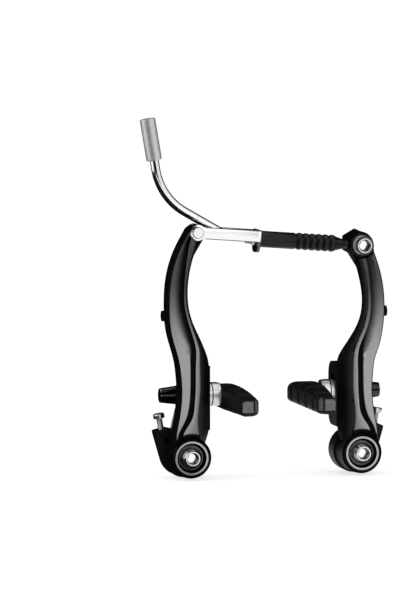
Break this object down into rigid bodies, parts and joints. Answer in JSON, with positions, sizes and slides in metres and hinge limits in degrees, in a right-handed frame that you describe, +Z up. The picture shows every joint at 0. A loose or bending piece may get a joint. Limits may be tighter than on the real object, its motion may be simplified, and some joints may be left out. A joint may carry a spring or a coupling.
{
  "type": "linear-pull bicycle rim brake",
  "caption": "Black linear-pull bicycle rim brake: paired ridged arms with pads, a bent cable noodle, link, rubber boot and cable anchor, pivoting on frame bosses.",
  "frame": {"origin": "midway between the two pivot axes, on the plane where the pivot bushings sit against the bicycle frame", "axes": "+X to the viewer's right, +Y along the pivot axes from the front of the brake towards the bicycle frame, +Z up towards the cable"},
  "size_m": [0.1195, 0.0595, 0.1685],
  "materials": {
    "black_paint": "satin black over cast aluminium",
    "zinc_steel": "bright zinc",
    "polished_alloy": "polished",
    "satin_alloy": "satin",
    "liner_plastic": "plain low-friction plastic",
    "black_rubber": "matte",
    "pad_rubber": "matte, moulded",
    "black_plastic": "moulded",
    "dark_steel": "dark plated",
    "black_oxide": "black oxide",
    "spring_steel": "drawn wire"
  },
  "bodies": {
    "frame_side": {"left_pivot_bushing": "zinc_steel", "left_pivot_bolt": "dark_steel", "left_bolt_washer": "dark_steel", "left_spring_housing": "black_plastic", "left_return_spring": "spring_steel", "right_pivot_bushing": "zinc_steel", "right_pivot_bolt": "dark_steel", "right_bolt_washer": "dark_steel", "right_spring_housing": "black_plastic", "right_return_spring": "spring_steel"},
    "left_arm_body": {"left_arm": "black_paint"},
    "right_arm_body": {"right_arm": "black_paint", "clamp_washer": "black_oxide", "anchor_bolt": "dark_steel", "anchor_nut": "black_oxide"},
    "link_body": {"noodle_link": "zinc_steel", "link_pin": "zinc_steel"},
    "noodle_body": {"noodle_tube": "polished_alloy", "noodle_liner": "liner_plastic", "noodle_ferrule": "satin_alloy", "noodle_tip": "zinc_steel", "cable_boot": "black_rubber"},
    "left_cup_body": {"left_inner_cup": "zinc_steel", "left_outer_cup": "zinc_steel"},
    "left_pad_body": {"left_pad_block": "pad_rubber", "left_pad_post": "zinc_steel", "left_inner_dome": "zinc_steel", "left_outer_dome": "zinc_steel", "left_pad_nut": "dark_steel"},
    "left_screw_body": {"left_tension_screw": "zinc_steel"},
    "right_cup_body": {"right_inner_cup": "zinc_steel", "right_outer_cup": "zinc_steel"},
    "right_pad_body": {"right_pad_block": "pad_rubber", "right_pad_post": "zinc_steel", "right_inner_dome": "zinc_steel", "right_outer_dome": "zinc_steel", "right_pad_nut": "dark_steel"},
    "right_screw_body": {"right_tension_screw": "zinc_steel"}
  },
  "joints": [
    {"name": "left_arm_pivot", "type": "hinge", "parent": "frame_side", "child": "left_arm_body", "pos_m": [-0.041, 0, 0], "axis": [0, 1, 0], "range_deg": [0, 5], "stiffness_Nm_per_rad": 0.4, "springref_deg": -34.38, "deforming": ["left_return_spring", "cable_boot"]},
    {"name": "right_arm_pivot", "type": "hinge", "parent": "frame_side", "child": "right_arm_body", "pos_m": [0.041, 0, 0], "axis": [0, -1, 0], "range_deg": [0, 5], "stiffness_Nm_per_rad": 0.4, "springref_deg": -34.38, "deforming": ["right_return_spring"]},
    {"name": "link_pivot", "type": "hinge", "parent": "left_arm_body", "child": "link_body", "pos_m": [-0.0376, -0.016, 0.1046], "axis": [0, 1, 0], "range_deg": [-5, 0]},
    {"name": "noodle_swivel", "type": "hinge", "parent": "link_body", "child": "noodle_body", "pos_m": [-0.0377, -0.016, 0.1033], "axis": [0.9968, 0, -0.0802], "range_deg": [-5, 5]},
    {"name": "left_pad_height", "type": "slide", "parent": "left_arm_body", "child": "left_cup_body", "axis": [0, 0, 1], "range_m": [-0.004, 0.005]},
    {"name": "left_pad_twist", "type": "hinge", "parent": "left_cup_body", "child": "left_pad_body", "pos_m": [-0.041, -0.0075, 0.028], "axis": [1, 0, 0], "range_deg": [-15, 15]},
    {"name": "right_pad_height", "type": "slide", "parent": "right_arm_body", "child": "right_cup_body", "axis": [0, 0, 1], "range_m": [-0.004, 0.005]},
    {"name": "right_pad_twist", "type": "hinge", "parent": "right_cup_body", "child": "right_pad_body", "pos_m": [0.041, -0.0075, 0.028], "axis": [-1, 0, 0], "range_deg": [-15, 15]},
    {"name": "left_tension_adjust", "type": "slide", "parent": "frame_side", "child": "left_screw_body", "axis": [-0.1736, 0, 0.9848], "range_m": [-0.002, 0.002]},
    {"name": "right_tension_adjust", "type": "slide", "parent": "frame_side", "child": "right_screw_body", "axis": [0.1736, 0, 0.9848], "range_m": [-0.002, 0.002]}
  ],
  "couplings": [
    {"joint": "right_arm_pivot", "follows": "left_arm_pivot", "ratio": 1},
    {"joint": "link_pivot", "follows": "left_arm_pivot", "ratio": -1}
  ]
}
